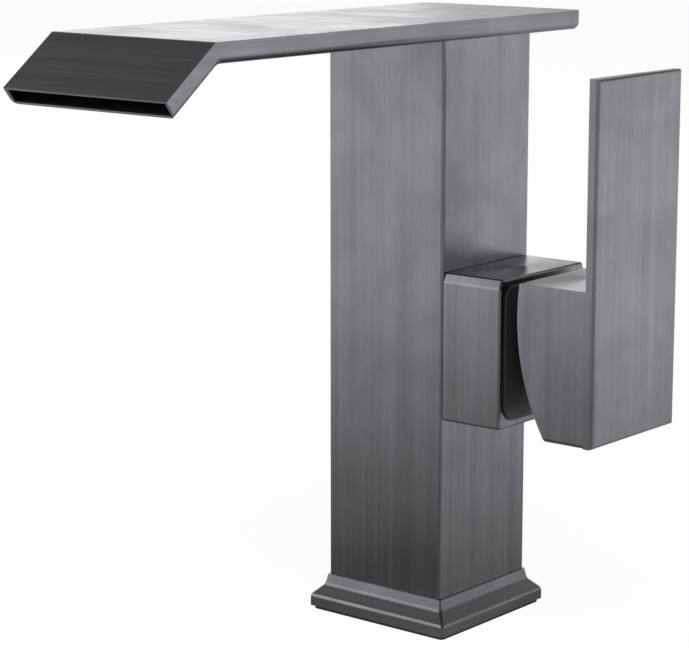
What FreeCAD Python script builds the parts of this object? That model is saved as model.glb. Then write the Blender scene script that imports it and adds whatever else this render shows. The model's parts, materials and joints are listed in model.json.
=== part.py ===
import FreeCAD, Part
import math
import os

from FreeCAD import Vector

# Single-lever waterfall basin faucet: a square column on a stepped flange, a flat slot spout with a
# turned-down lip, and a side lever on a joystick cartridge. Millimetres. The origin is the middle of the
# base on the basin deck, +Z is up, the spout points to -Y and the lever sits on the +X side.

# Column
column_width = 41.0
column_wall = 2.5
column_edge_radius = 1.1
column_bore_radius = 1.0
column_height = 166.1

# Base
gasket_thickness = 1.0
gasket_inset = 0.8
flange_overhang = 4.1
flange_corner_radius = 1.2
flange_edge_height = 3.3
flange_slope_height = 3.1
flange_slope_run = 3.3
flange_collar_height = 3.0
flange_land = 0.3
ledge_thickness = 2.5
base_opening_radius = 15.5

# Inlet block in the foot of the column
inlet_block_height = 20.0
hose_thread_radius = 4.46
hose_thread_depth = 11.0
hose_spacing = 15.0
inlet_step = 3.0
stud_thread_radius = 3.32
stud_thread_depth = 14.0
stud_offset = 10.0

# Water tubes
supply_tube_radius = 4.0
mixed_tube_radius = 5.0
tube_wall = 1.0
tube_seal_radius = 0.6
tube_seal_height = 3.0

# Valve body and its square housing
lever_axis_height = 84.0
housing_height = 42.0
housing_reach = 19.2
housing_edge_radius = 2.5
housing_end_radius = 1.2
valve_wall = 1.4
valve_back_wall = 17.0
valve_mouth_recess = 0.5
riser_setback = 8.4
supply_socket_drop = 6.0
mixed_socket_rise = 8.5
supply_bore_radius = 3.0
mixed_bore_radius = 2.6
supply_port_radius = 1.7
supply_port_spread = 4.8
supply_port_rise = 2.3
mixed_port_radius = 2.2
mixed_port_drop = 2.6

# Cartridge
cartridge_radius = 12.5
cartridge_play = 0.15
nut_step = 0.85
nut_length = 5.0
nut_recess = 0.3
nut_slot_width = 3.0
nut_slot_depth = 2.0
casing_length = 20.5
casing_wall = 1.0
casing_top_wall = 5.0
neck_radius = 10.6
neck_reach = 1.5
base_disc_thickness = 6.0
base_seal_radius = 0.65
seat_seal_width = 1.1
seat_seal_thickness = 1.4
ceramic_thickness = 3.6
fixed_disc_radius = 10.8
moving_disc_radius = 7.2
mixing_recess_depth = 1.8
mixing_recess_wall = 1.0
mixing_recess_low = -5.3
mixing_recess_high = 0.4
rotor_radius = 9.2
rotor_flange_radius = 11.0
rotor_flange_thickness = 2.3
rotor_reach = 0.3
pivot_depth = 6.7
pivot_pin_radius = 1.5
pin_end_inset = 0.5
collar_foot_radius = 14.6
collar_inset = 2.0
collar_corner_radius = 4.0
collar_plate_thickness = 1.2
collar_radius = 18.0
collar_rise = 1.1
collar_crown = 1.5

# Lever stem
stem_side = 6.0
stem_arm = 9.4
stem_ball_radius = 2.4
stem_neck_radius = 1.7
stem_engagement = 11.5
tilt_range_deg = 25.0

# Handle
handle_width = 41.0
hub_gap = 5.3
hub_depth = 23.0
hub_drop = 0.8
hub_relief_radius = 60.0
hub_relief_rise = 12.0
hub_edge_radius = 0.6
hub_pocket_radius = 14.2
hub_pocket_depth = 5.0
blade_thickness = 3.0
blade_height = 99.3
blade_edge_radius = 1.2
grub_screw_radius = 2.5
grub_screw_length = 10.0
grub_socket_radius = 1.4
grub_socket_depth = 3.0
plug_radius = 3.2
plug_thickness = 2.2

# Spout
spout_width = 56.0
spout_thickness = 5.4
spout_sheet = 0.8
spout_skirt = 1.2
spout_back_reach = 35.0
spout_front_reach = 120.5
lip_length = 21.5
lip_angle_deg = 37.0
spout_edge_radius = 0.4
rib_width = 1.5
rib_offset = 9.0
rib_start = 32.0
rib_end_margin = 6.0
manifold_height = 12.0
manifold_step = 5.0
spout_passage_radius = 4.0
spout_seal_radius = 0.75
spout_seal_margin = 2.9
spout_screw_margin = 4.0

# Fasteners: flat-head and pan-head screws of one thread
screw_radius = 1.5
screw_reach = 7.0
screw_hole_margin = 1.0
flat_head_radius = 2.8
flat_head_height = 1.6
pan_head_radius = 2.7
pan_head_height = 1.2
screw_slot_width = 0.8
screw_slot_depth = 0.6
flange_screw_margin = 3.8

# Clearances
braze_gap = 0.1
thread_gap = 0.05
run_gap = 0.08
press_gap = 0.02
slide_gap = 0.3
seal_gap = 0.05
through = 1.0
tiny = 1e-6

# Places worked out from the sizes above
column_half = column_width / 2
column_inner_half = column_half - column_wall
block_half = column_inner_half - braze_gap
block_corner_radius = column_bore_radius
flange_half = column_half + flange_overhang
flange_bottom_z = gasket_thickness
ledge_top_z = flange_bottom_z + ledge_thickness
flange_top_z = flange_bottom_z + flange_edge_height + flange_slope_height + flange_collar_height
inlet_top_z = ledge_top_z + inlet_block_height
spout_under_z = ledge_top_z + column_height
spout_top_z = spout_under_z + spout_thickness
axis_z = lever_axis_height

housing_end_x = column_half + housing_reach
valve_bore_radius = cartridge_radius + cartridge_play
nut_radius = cartridge_radius + nut_step
valve_radius = nut_radius + thread_gap + valve_wall
valve_mouth_x = housing_end_x - valve_mouth_recess
nut_outer_x = valve_mouth_x - nut_recess
shoulder_x = nut_outer_x - nut_length
casing_foot_x = shoulder_x - casing_length
seat_x = casing_foot_x - base_disc_thickness
valve_back_x = seat_x - valve_back_wall
riser_x = seat_x - riser_setback
riser_y = hose_spacing / 2

neck_end_x = housing_end_x + neck_reach
rotor_end_x = neck_end_x + rotor_reach
rotor_shoulder_x = shoulder_x - casing_top_wall
rotor_flange_top_x = rotor_shoulder_x - run_gap
rotor_foot_x = rotor_flange_top_x - rotor_flange_thickness
pivot_x = housing_end_x - pivot_depth
moving_disc_x = casing_foot_x + ceramic_thickness
carrier_x = moving_disc_x + ceramic_thickness
carrier_top_x = rotor_foot_x - slide_gap
ball_x = pivot_x - stem_arm
chamber_radius = cartridge_radius - casing_wall

hub_inner_x = housing_end_x + hub_gap
hub_outer_x = hub_inner_x + hub_depth
blade_outer_x = hub_outer_x + blade_thickness
hub_bottom_z = axis_z - housing_height / 2 - hub_drop
hub_top_z = axis_z + housing_height / 2
pocket_floor_x = hub_inner_x + hub_pocket_depth
stem_end_x = pocket_floor_x + stem_engagement
grub_x = pocket_floor_x + stem_engagement / 2

supply_foot_z = ledge_top_z + hose_thread_depth + inlet_step
supply_head_z = axis_z - supply_socket_drop
mixed_foot_z = axis_z + mixed_socket_rise
mixed_head_z = spout_under_z - manifold_step
supply_seal_z = inlet_top_z - tube_seal_height
manifold_foot_z = spout_under_z - manifold_height
mixed_seal_z = manifold_foot_z + tube_seal_height

flange_screw_offset = block_half - flange_screw_margin
spout_screw_offset = block_half - spout_screw_margin
spout_half = spout_width / 2
channel_half = spout_half - spout_skirt
tray_half = channel_half - braze_gap
lip_angle = math.radians(lip_angle_deg)
tilt_range = math.radians(tilt_range_deg)
corners = [(sx, sy) for sx in (-1, 1) for sy in (-1, 1)]


# Shape helpers

def at(axis, u, v, w):
    """A point with w along the named axis and u, v across it."""
    return {"x": Vector(w, u, v), "y": Vector(u, w, v), "z": Vector(u, v, w)}[axis]


def box(x0, x1, y0, y1, z0, z1):
    """A box between two corners."""
    return Part.makeBox(x1 - x0, y1 - y0, z1 - z0, Vector(x0, y0, z0))


def rod(axis, radius, u, v, w0, w1):
    """A round bar along an axis from w0 to w1, centred on u, v."""
    return Part.makeCylinder(radius, w1 - w0, at(axis, u, v, w0), at(axis, 0, 0, 1))


def ring(axis, outer, inner, u, v, w0, w1):
    """A round tube along an axis."""
    bore = rod(axis, inner, u, v, w0 - through, w1 + through)
    return rod(axis, outer, u, v, w0, w1).cut(bore)


def taper(axis, radius0, radius1, u, v, w0, w1):
    """A cone along an axis, radius0 at w0 and radius1 at w1."""
    return Part.makeCone(radius0, radius1, w1 - w0, at(axis, u, v, w0), at(axis, 0, 0, 1))


def o_ring(axis, middle_radius, cord_radius, u, v, w):
    """A sealing ring of round section."""
    return Part.makeTorus(middle_radius, cord_radius, at(axis, u, v, w), at(axis, 0, 0, 1))


def rounded_outline(axis, half_u, half_v, radius, v_middle, w):
    """A rectangle with round corners, square to an axis, centred on u = 0 and v = v_middle."""
    edges = []
    u1, v1 = half_u - radius, half_v - radius
    turn = radius * math.sqrt(0.5)
    quarters = [(1, 1), (-1, 1), (-1, -1), (1, -1)]
    arcs = []
    for su, sv in quarters:
        ends = [(su * half_u, sv * v1), (su * u1, sv * half_v)]
        if su * sv < 0:
            ends.reverse()
        middle = (su * (u1 + turn), sv * (v1 + turn))
        arcs.append([at(axis, p[0], v_middle + p[1], w) for p in (ends[0], middle, ends[1])])
    for arc, following in zip(arcs, arcs[1:] + arcs[:1]):
        edges.append(Part.Arc(*arc).toShape())
        edges.append(Part.LineSegment(arc[2], following[0]).toShape())
    return Part.Wire(edges)


def rounded_bar(axis, half_u, half_v, radius, v_middle, w0, w1):
    """A straight bar of round-cornered rectangular section."""
    face = Part.Face(rounded_outline(axis, half_u, half_v, radius, v_middle, w0))
    return face.extrude(at(axis, 0, 0, w1 - w0))


def edges_along(shape, direction):
    """The straight edges of a shape that run along a direction."""
    straight = [edge for edge in shape.Edges if edge.Curve.TypeId == "Part::GeomLine"]
    return [edge for edge in straight if edge.tangentAt(edge.FirstParameter).cross(direction).Length < tiny]


def driver_slot(x, y, head_radius, middle_z):
    """The cutter of a driver slot across a screw head, as deep as the slot on each side of middle_z."""
    half = screw_slot_width / 2
    return box(x - head_radius, x + head_radius, y - half, y + half,
               middle_z - screw_slot_depth, middle_z + screw_slot_depth)


# Base

def base_gasket():
    """Flat rubber gasket between the flange and the basin deck."""
    half = flange_half - gasket_inset
    plate = rounded_bar("z", half, half, flange_corner_radius, 0, 0, gasket_thickness)
    return plate.cut(rod("z", base_opening_radius, 0, 0, -through, gasket_thickness + through))


def base_flange():
    """Stepped square flange: upright edge, slope, then a steep collar up the column."""
    slope_half = flange_half - flange_slope_run
    top_half = column_half + braze_gap + flange_land
    edge_z = flange_bottom_z + flange_edge_height
    slope_z = edge_z + flange_slope_height
    levels = [(flange_half, flange_bottom_z), (flange_half, edge_z),
              (slope_half, slope_z), (top_half, flange_top_z)]
    outlines = [rounded_outline("z", half, half, flange_corner_radius, 0, z) for half, z in levels]
    flange = Part.makeLoft(outlines, True, True)
    seat_half = column_half + braze_gap
    seat_radius = column_edge_radius + braze_gap
    seat = rounded_bar("z", seat_half, seat_half, seat_radius, 0, ledge_top_z, flange_top_z + through)
    flange = flange.cut(seat)
    flange = flange.cut(rod("z", base_opening_radius, 0, 0, 0, ledge_top_z + through))
    for sx, sy in corners:
        x, y = sx * flange_screw_offset, sy * flange_screw_offset
        flange = flange.cut(rod("z", screw_radius + thread_gap, x, y, 0, ledge_top_z + through))
        flange = flange.cut(flat_head(x, y, thread_gap))
    return flange


def flat_head(x, y, gap):
    """The cone of a flat-head screw that is flush with the flange's underside."""
    top = flange_bottom_z + flat_head_height
    return taper("z", flat_head_radius + gap, screw_radius + gap, x, y, flange_bottom_z, top)


def flange_screws():
    """Four flat-head screws that clamp the flange's ledge to the inlet block."""
    screws = []
    for sx, sy in corners:
        x, y = sx * flange_screw_offset, sy * flange_screw_offset
        shank = rod("z", screw_radius, x, y, flange_bottom_z, ledge_top_z + screw_reach)
        screw = flat_head(x, y, 0).fuse(shank).removeSplitter()
        screws.append(screw.cut(driver_slot(x, y, flat_head_radius, flange_bottom_z)))
    return Part.makeCompound(screws)


def inlet_block():
    """Brass block in the column's foot: two hose threads, the stud thread and two tube sockets."""
    block = rounded_bar("z", block_half, block_half, block_corner_radius, 0, ledge_top_z, inlet_top_z)
    for side in (-1, 1):
        y = side * riser_y
        socket_radius = supply_tube_radius + thread_gap
        thread_top = ledge_top_z + hose_thread_depth
        block = block.cut(rod("z", hose_thread_radius, riser_x, y, ledge_top_z - through, thread_top))
        block = block.cut(rod("z", supply_bore_radius, riser_x, y, thread_top - through, inlet_top_z))
        block = block.cut(rod("z", socket_radius, riser_x, y, supply_foot_z, inlet_top_z + through))
        block = block.cut(seal_groove(supply_tube_radius, riser_x, y, supply_seal_z))
    stud_top = ledge_top_z + stud_thread_depth
    block = block.cut(rod("z", stud_thread_radius, stud_offset, 0, ledge_top_z - through, stud_top))
    for sx, sy in corners:
        x, y = sx * flange_screw_offset, sy * flange_screw_offset
        hole_top = ledge_top_z + screw_reach + screw_hole_margin
        block = block.cut(rod("z", screw_radius + thread_gap, x, y, ledge_top_z - through, hole_top))
    return block


# Column

def column_shell():
    """Square tube with a round hole for the valve body in its lever side."""
    outer = rounded_bar("z", column_half, column_half, column_edge_radius, 0, ledge_top_z, spout_under_z)
    inner = rounded_bar("z", column_inner_half, column_inner_half, column_bore_radius, 0,
                        ledge_top_z - through, spout_under_z + through)
    return outer.cut(inner).cut(rod("x", valve_radius + braze_gap, 0, axis_z, 0, column_half + through))


# Water tubes

def seal_groove(tube_radius, x, y, z):
    """The groove that holds a tube's sealing ring."""
    depth = 2 * (tube_seal_radius + seal_gap)
    half = tube_seal_radius + seal_gap
    return rod("z", tube_radius + depth, x, y, z - half, z + half)


def supply_riser(side):
    """Copper tube from the inlet block up to the valve body, on one side of the column's middle."""
    bore = supply_tube_radius - tube_wall
    return ring("z", supply_tube_radius, bore, riser_x, side * riser_y, supply_foot_z, supply_head_z)


def mixed_riser():
    """Copper tube from the valve body up to the spout manifold."""
    bore = mixed_tube_radius - tube_wall
    return ring("z", mixed_tube_radius, bore, riser_x, 0, mixed_foot_z, mixed_head_z)


def riser_seals():
    """Sealing rings round the supply tubes in the inlet block and the mixed tube in the manifold."""
    def seal(tube_radius, y, z):
        return o_ring("z", tube_radius + tube_seal_radius + seal_gap, tube_seal_radius, riser_x, y, z)
    supply = [seal(supply_tube_radius, side * riser_y, supply_seal_z) for side in (-1, 1)]
    return Part.makeCompound(supply + [seal(mixed_tube_radius, 0, mixed_seal_z)])


# Valve

def valve_body():
    """Round brass body through the column wall: cartridge bore, three ports and the tube sockets."""
    body = rod("x", valve_radius, 0, axis_z, valve_back_x, valve_mouth_x)
    body = body.cut(rod("x", valve_bore_radius, 0, axis_z, seat_x, valve_mouth_x + through))
    body = body.cut(rod("x", nut_radius + thread_gap, 0, axis_z, shoulder_x, valve_mouth_x + through))
    for y, z, radius in port_places():
        body = body.cut(rod("x", radius, y, z, riser_x, seat_x + through))
    socket_radius = supply_tube_radius + thread_gap
    for side in (-1, 1):
        y = side * riser_y
        body = body.cut(rod("z", socket_radius, riser_x, y, axis_z - valve_radius, supply_head_z))
        body = body.cut(rod("z", supply_bore_radius, riser_x, y, supply_head_z, axis_z + supply_port_rise))
    body = body.cut(rod("z", mixed_bore_radius, riser_x, 0, axis_z - mixed_port_drop, mixed_foot_z))
    socket_radius = mixed_tube_radius + thread_gap
    return body.cut(rod("z", socket_radius, riser_x, 0, mixed_foot_z, axis_z + valve_radius))


def side_housing():
    """Square block on the column's side that carries the valve body, flush with the column's front."""
    block = rounded_bar("x", column_half, housing_height / 2, housing_edge_radius, axis_z,
                        column_half, housing_end_x)
    ends = (column_half, housing_end_x)
    end_edges = [edge for edge in block.Edges if min(abs(edge.CenterOfMass.x - x) for x in ends) < tiny]
    block = block.makeFillet(housing_end_radius, end_edges)
    return block.cut(rod("x", valve_radius + braze_gap, 0, axis_z, 0, housing_end_x + through))


def port_places():
    """Where the three water ports meet the cartridge: y, z and radius of each."""
    supply = [(side * supply_port_spread, axis_z + supply_port_rise, supply_port_radius) for side in (-1, 1)]
    return supply + [(0, axis_z - mixed_port_drop, mixed_port_radius)]


def seat_seals():
    """Three rubber rings between the valve seat and the cartridge's ports."""
    rings = [ring("x", radius + seat_seal_width, radius, y, z, seat_x, seat_x + seat_seal_thickness)
             for y, z, radius in port_places()]
    return Part.makeCompound(rings)


def cartridge_base():
    """Cartridge foot with three ports, a seal pocket at each and a groove for the outer seal."""
    foot = rod("x", cartridge_radius, 0, axis_z, seat_x, casing_foot_x)
    for y, z, radius in port_places():
        pocket_radius = radius + seat_seal_width + seal_gap
        foot = foot.cut(rod("x", radius, y, z, seat_x - through, casing_foot_x + through))
        foot = foot.cut(rod("x", pocket_radius, y, z, seat_x - through, seat_x + seat_seal_thickness))
    half = base_seal_radius + seal_gap
    middle = (seat_x + casing_foot_x) / 2
    floor_radius = valve_bore_radius - 2 * half
    groove = ring("x", cartridge_radius + through, floor_radius, 0, axis_z, middle - half, middle + half)
    return foot.cut(groove)


def base_seal():
    """Sealing ring between the cartridge's foot and the valve body's bore."""
    middle = (seat_x + casing_foot_x) / 2
    return o_ring("x", valve_bore_radius - base_seal_radius - seal_gap, base_seal_radius, 0, axis_z, middle)


def fixed_disc():
    """Lower ceramic disc with the three ports."""
    disc = rod("x", fixed_disc_radius, 0, axis_z, casing_foot_x, moving_disc_x)
    for y, z, radius in port_places():
        disc = disc.cut(rod("x", radius, y, z, casing_foot_x - through, moving_disc_x + through))
    return disc


def moving_disc():
    """Upper ceramic disc whose recess joins the ports as it slides and turns."""
    disc = rod("x", moving_disc_radius, 0, axis_z, moving_disc_x, carrier_x)
    reach = moving_disc_radius - mixing_recess_wall
    recess = rod("x", reach, 0, axis_z, moving_disc_x - through, moving_disc_x + mixing_recess_depth)
    band = box(moving_disc_x - through, carrier_x, -reach, reach,
               axis_z + mixing_recess_low, axis_z + mixing_recess_high)
    return disc.cut(recess.common(band))


def disc_carrier():
    """Plastic driver on the moving disc, with a flared socket for the stem's ball."""
    carrier = rod("x", moving_disc_radius, 0, axis_z, carrier_x, carrier_top_x)
    socket_radius = stem_ball_radius + 2 * run_gap
    carrier = carrier.cut(rod("x", socket_radius, 0, axis_z, carrier_x - through, carrier_top_x + through))
    flare = (carrier_top_x - ball_x) * math.tan(tilt_range)
    return carrier.cut(taper("x", socket_radius, socket_radius + flare, 0, axis_z, ball_x, carrier_top_x))


def cartridge_casing():
    """Plastic casing: a chamber for the discs and a neck that guides the rotor."""
    casing = rod("x", cartridge_radius, 0, axis_z, casing_foot_x, shoulder_x)
    casing = casing.fuse(rod("x", neck_radius, 0, axis_z, shoulder_x, neck_end_x))
    casing = casing.cut(rod("x", chamber_radius, 0, axis_z, casing_foot_x - through, rotor_shoulder_x))
    guide_radius = rotor_radius + run_gap
    return casing.cut(rod("x", guide_radius, 0, axis_z, rotor_shoulder_x - through, neck_end_x + through))


def stem_rotor():
    """Plastic rotor that turns in the casing's neck, slotted so that the stem can tilt in it."""
    rotor = rod("x", rotor_radius, 0, axis_z, rotor_foot_x, rotor_end_x)
    rotor = rotor.fuse(rod("x", rotor_flange_radius, 0, axis_z, rotor_foot_x, rotor_flange_top_x))
    half = stem_side / 2 + run_gap
    thick = stem_side / 2 / math.cos(tilt_range)
    neck = stem_neck_radius / math.cos(tilt_range)
    low = axis_z - (rotor_end_x - pivot_x) * math.tan(tilt_range) - thick - slide_gap
    high = axis_z + (pivot_x - rotor_foot_x) * math.tan(tilt_range) + neck + slide_gap
    rotor = rotor.cut(box(rotor_foot_x - through, rotor_end_x + through, -half, half, low, high))
    return rotor.cut(rod("y", pivot_pin_radius + press_gap, pivot_x, axis_z, -rotor_radius, rotor_radius))


def pivot_pin():
    """Steel pin across the rotor that the stem tilts on."""
    half = rotor_radius - pin_end_inset
    return rod("y", pivot_pin_radius, pivot_x, axis_z, -half, half)


def lever_stem():
    """Steel stem: a ball that moves the disc, an eye on the pivot pin and a square shank."""
    half = stem_side / 2
    ball = Part.makeSphere(stem_ball_radius, Vector(ball_x, 0, axis_z))
    neck = rod("x", stem_neck_radius, 0, axis_z, ball_x, pivot_x)
    shank = box(pivot_x, stem_end_x, -half, half, axis_z - half, axis_z + half)
    eye = rod("y", half, pivot_x, axis_z, -half, half)
    stem = ball.fuse([neck, shank, eye])
    return stem.cut(rod("y", pivot_pin_radius + run_gap, pivot_x, axis_z, -half - through, half + through))


def cartridge_nut():
    """Brass ring nut that holds the cartridge, with four tool slots in its face."""
    nut = ring("x", nut_radius, neck_radius + run_gap, 0, axis_z, shoulder_x, nut_outer_x)
    half = nut_slot_width / 2
    reach = nut_radius + through
    slot_x = nut_outer_x - nut_slot_depth
    nut = nut.cut(box(slot_x, nut_outer_x + through, -half, half, axis_z - reach, axis_z + reach))
    return nut.cut(box(slot_x, nut_outer_x + through, -reach, reach, axis_z - half, axis_z + half))


def trim_collar():
    """Black cover over the nut: a round foot, a square plate on the housing's end and a cone to the neck."""
    inner = neck_radius + run_gap
    half_y = column_half - collar_inset
    half_z = housing_height / 2 - collar_inset
    foot_x = housing_end_x - valve_mouth_recess
    plate_x = housing_end_x + collar_plate_thickness
    crown_x = plate_x + collar_rise
    foot = rod("x", collar_foot_radius, 0, axis_z, foot_x, housing_end_x)
    plate = rounded_bar("x", half_y, half_z, collar_corner_radius, axis_z, housing_end_x, plate_x)
    cone = taper("x", collar_radius, inner + collar_crown, 0, axis_z, plate_x, crown_x)
    return foot.fuse([plate, cone]).cut(rod("x", inner, 0, axis_z, foot_x - through, crown_x + through))


# Handle

def relief_x(z):
    """How far out the hub's inner face lies at a height: an arc that clears the housing as it tilts."""
    drop = z - (axis_z + hub_relief_rise)
    return hub_inner_x + hub_relief_radius - math.sqrt(hub_relief_radius ** 2 - drop ** 2)


def handle_hub():
    """Handle block with an arched inner face, a pocket round the neck and a square stem socket."""
    half = handle_width / 2
    low = Vector(relief_x(hub_bottom_z), -half, hub_bottom_z)
    middle = Vector(relief_x(axis_z), -half, axis_z)
    high = Vector(relief_x(hub_top_z), -half, hub_top_z)
    out_high = Vector(hub_outer_x, -half, hub_top_z)
    out_low = Vector(hub_outer_x, -half, hub_bottom_z)
    arc = Part.Arc(low, middle, high).toShape()
    lines = Part.makePolygon([high, out_high, out_low, low])
    hub = Part.Face(Part.Wire([arc] + lines.Edges)).extrude(Vector(0, handle_width, 0))
    hub = hub.makeFillet(hub_edge_radius, edges_along(hub, Vector(1, 0, 0)))
    hub = hub.cut(rod("x", hub_pocket_radius, 0, axis_z, housing_end_x, pocket_floor_x))
    socket = stem_side / 2 + braze_gap
    hub = hub.cut(box(housing_end_x, stem_end_x + slide_gap, -socket, socket,
                      axis_z - socket, axis_z + socket))
    hub = hub.cut(rod("z", grub_screw_radius + thread_gap, grub_x, 0, hub_bottom_z - through, axis_z))
    plug_top = hub_bottom_z + plug_thickness
    return hub.cut(rod("z", plug_radius + thread_gap, grub_x, 0, hub_bottom_z - through, plug_top))


def handle_blade():
    """Flat upright plate that closes the hub's outer end and rises above it as the lever."""
    half = handle_width / 2
    blade = box(hub_outer_x, blade_outer_x, -half, half, hub_bottom_z, hub_bottom_z + blade_height)
    outer_edges = [edge for edge in blade.Edges if abs(edge.CenterOfMass.x - blade_outer_x) < tiny]
    return blade.makeFillet(blade_edge_radius, outer_edges)


def grub_screw():
    """Set screw under the hub that grips the stem, with a six-sided socket."""
    tip_z = axis_z - stem_side / 2 - seal_gap
    foot_z = tip_z - grub_screw_length
    screw = rod("z", grub_screw_radius, grub_x, 0, foot_z, tip_z)
    points = [Vector(grub_x + grub_socket_radius * math.cos(math.radians(60 * i)),
                     grub_socket_radius * math.sin(math.radians(60 * i)), foot_z) for i in range(7)]
    socket = Part.Face(Part.makePolygon(points)).extrude(Vector(0, 0, grub_socket_depth))
    return screw.cut(socket)


def screw_plug():
    """Push-in plug that hides the set screw."""
    return rod("z", plug_radius, grub_x, 0, hub_bottom_z, hub_bottom_z + plug_thickness)


# Spout

def spout_profile(depth, back_inset):
    """Points of the spout's line at a depth under its top face: back end, bend and lip end."""
    z = spout_top_z - depth
    bend = Vector(0, -spout_front_reach + depth * math.tan(lip_angle / 2), z)
    tip_y = -spout_front_reach - lip_length * math.cos(lip_angle) + depth * math.sin(lip_angle)
    tip_z = spout_top_z - lip_length * math.sin(lip_angle) - depth * math.cos(lip_angle)
    return [Vector(0, spout_back_reach - back_inset, z), bend, Vector(0, tip_y, tip_z)]


def spout_layer(depth0, depth1, half, back_inset, overrun=0.0):
    """A bent slab of the spout between two depths, optionally running on past the lip's end."""
    upper, lower = spout_profile(depth0, back_inset), spout_profile(depth1, back_inset)
    run_on = Vector(0, -math.cos(lip_angle), -math.sin(lip_angle)) * overrun
    upper[2], lower[2] = upper[2] + run_on, lower[2] + run_on
    points = upper + lower[::-1]
    outline = [Vector(-half, p.y, p.z) for p in points + points[:1]]
    return Part.Face(Part.makePolygon(outline)).extrude(Vector(2 * half, 0, 0))


def spout_cover():
    """Bent top sheet with skirts on both sides and the back; its lip end stays open as the slot."""
    cover = spout_layer(0, spout_thickness, spout_half, 0)
    back_edges = [edge for edge in edges_along(cover, Vector(1, 0, 0)) if edge.CenterOfMass.y > 0]
    corner_edges = edges_along(cover, Vector(0, 0, 1))
    cover = cover.makeFillet(spout_edge_radius, back_edges + corner_edges)
    hollow = spout_layer(spout_sheet, spout_thickness + through, channel_half, spout_skirt, through)
    return cover.cut(hollow)


def spout_tray():
    """Bottom sheet of the water channel, with two ribs that hold up the cover and the water inlet."""
    tray = spout_layer(spout_thickness - spout_sheet, spout_thickness, tray_half, spout_skirt + braze_gap)
    floor_z = spout_under_z + spout_sheet
    rib_top_z = spout_top_z - spout_sheet - braze_gap
    for side in (-1, 1):
        x = side * rib_offset
        tray = tray.fuse(box(x - rib_width / 2, x + rib_width / 2, -spout_front_reach + rib_end_margin,
                             -rib_start, spout_under_z, rib_top_z))
    tray = tray.cut(rod("z", spout_passage_radius, riser_x, 0, spout_under_z - through, floor_z + through))
    for sx, sy in corners:
        x, y = sx * spout_screw_offset, sy * spout_screw_offset
        tray = tray.cut(rod("z", screw_radius + thread_gap, x, y, spout_under_z - through, floor_z + through))
    return tray


def spout_manifold():
    """Brass block in the column's head that the mixed tube enters and the spout is screwed to."""
    block = rounded_bar("z", block_half, block_half, block_corner_radius, 0, manifold_foot_z, spout_under_z)
    socket_radius = mixed_tube_radius + thread_gap
    block = block.cut(rod("z", socket_radius, riser_x, 0, manifold_foot_z - through, mixed_head_z))
    block = block.cut(rod("z", spout_passage_radius, riser_x, 0, mixed_head_z, spout_under_z + through))
    block = block.cut(seal_groove(mixed_tube_radius, riser_x, 0, mixed_seal_z))
    middle = spout_passage_radius + spout_seal_margin
    half = spout_seal_radius + seal_gap
    groove_z = spout_under_z - 2 * half
    block = block.cut(ring("z", middle + half, middle - half, riser_x, 0, groove_z, spout_under_z + through))
    for sx, sy in corners:
        x, y = sx * spout_screw_offset, sy * spout_screw_offset
        foot_z = spout_under_z - screw_reach - screw_hole_margin
        block = block.cut(rod("z", screw_radius + thread_gap, x, y, foot_z, spout_under_z + through))
    return block


def spout_seal():
    """Sealing ring between the manifold and the spout's tray."""
    middle = spout_passage_radius + spout_seal_margin
    return o_ring("z", middle, spout_seal_radius, riser_x, 0, spout_under_z - spout_seal_radius - seal_gap)


def spout_screws():
    """Four pan-head screws inside the channel that hold the tray down on the manifold."""
    screws = []
    for sx, sy in corners:
        x, y = sx * spout_screw_offset, sy * spout_screw_offset
        floor_z = spout_under_z + spout_sheet
        shank = rod("z", screw_radius, x, y, spout_under_z - screw_reach, floor_z)
        head = rod("z", pan_head_radius, x, y, floor_z, floor_z + pan_head_height)
        screws.append(shank.fuse(head).cut(driver_slot(x, y, pan_head_radius, floor_z + pan_head_height)))
    return Part.makeCompound(screws)


def build():
    """Every node of the faucet by name."""
    makers = [base_gasket, base_flange, flange_screws, inlet_block, column_shell, mixed_riser, riser_seals,
              valve_body, side_housing, seat_seals, cartridge_base, base_seal, fixed_disc, moving_disc,
              disc_carrier, cartridge_casing, stem_rotor, pivot_pin, lever_stem, cartridge_nut, trim_collar,
              handle_hub, handle_blade, grub_screw, screw_plug, spout_cover, spout_tray, spout_manifold,
              spout_seal, spout_screws]
    nodes = {maker.__name__: maker() for maker in makers}
    nodes["hot_riser"] = supply_riser(-1)
    nodes["cold_riser"] = supply_riser(1)
    return nodes


os.makedirs("parts", exist_ok=True)
for name, shape in sorted(build().items()):
    volume = sum(solid.Volume for solid in shape.Solids)
    print(f"{name}: {len(shape.Solids)} solid, valid {shape.isValid()}, {volume:.1f} mm3")
    shape.exportStep(f"parts/{name}.step")
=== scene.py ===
"""Looks of a single-lever waterfall basin faucet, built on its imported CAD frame.

Lengths are metres, angles are radians and colours are linear.
"""
import json
import logging
import math
from dataclasses import dataclass, field
from enum import Enum
from functools import cache
from itertools import product
from typing import Callable, Iterable, Optional, Sequence, Union

import bmesh
import bpy
from bmesh.types import BMEdge, BMFace, BMVert
from bpy.types import Material, Node, NodeOutputs, NodeSocket, NodeTree, Object
from mathutils import Matrix, Vector


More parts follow.
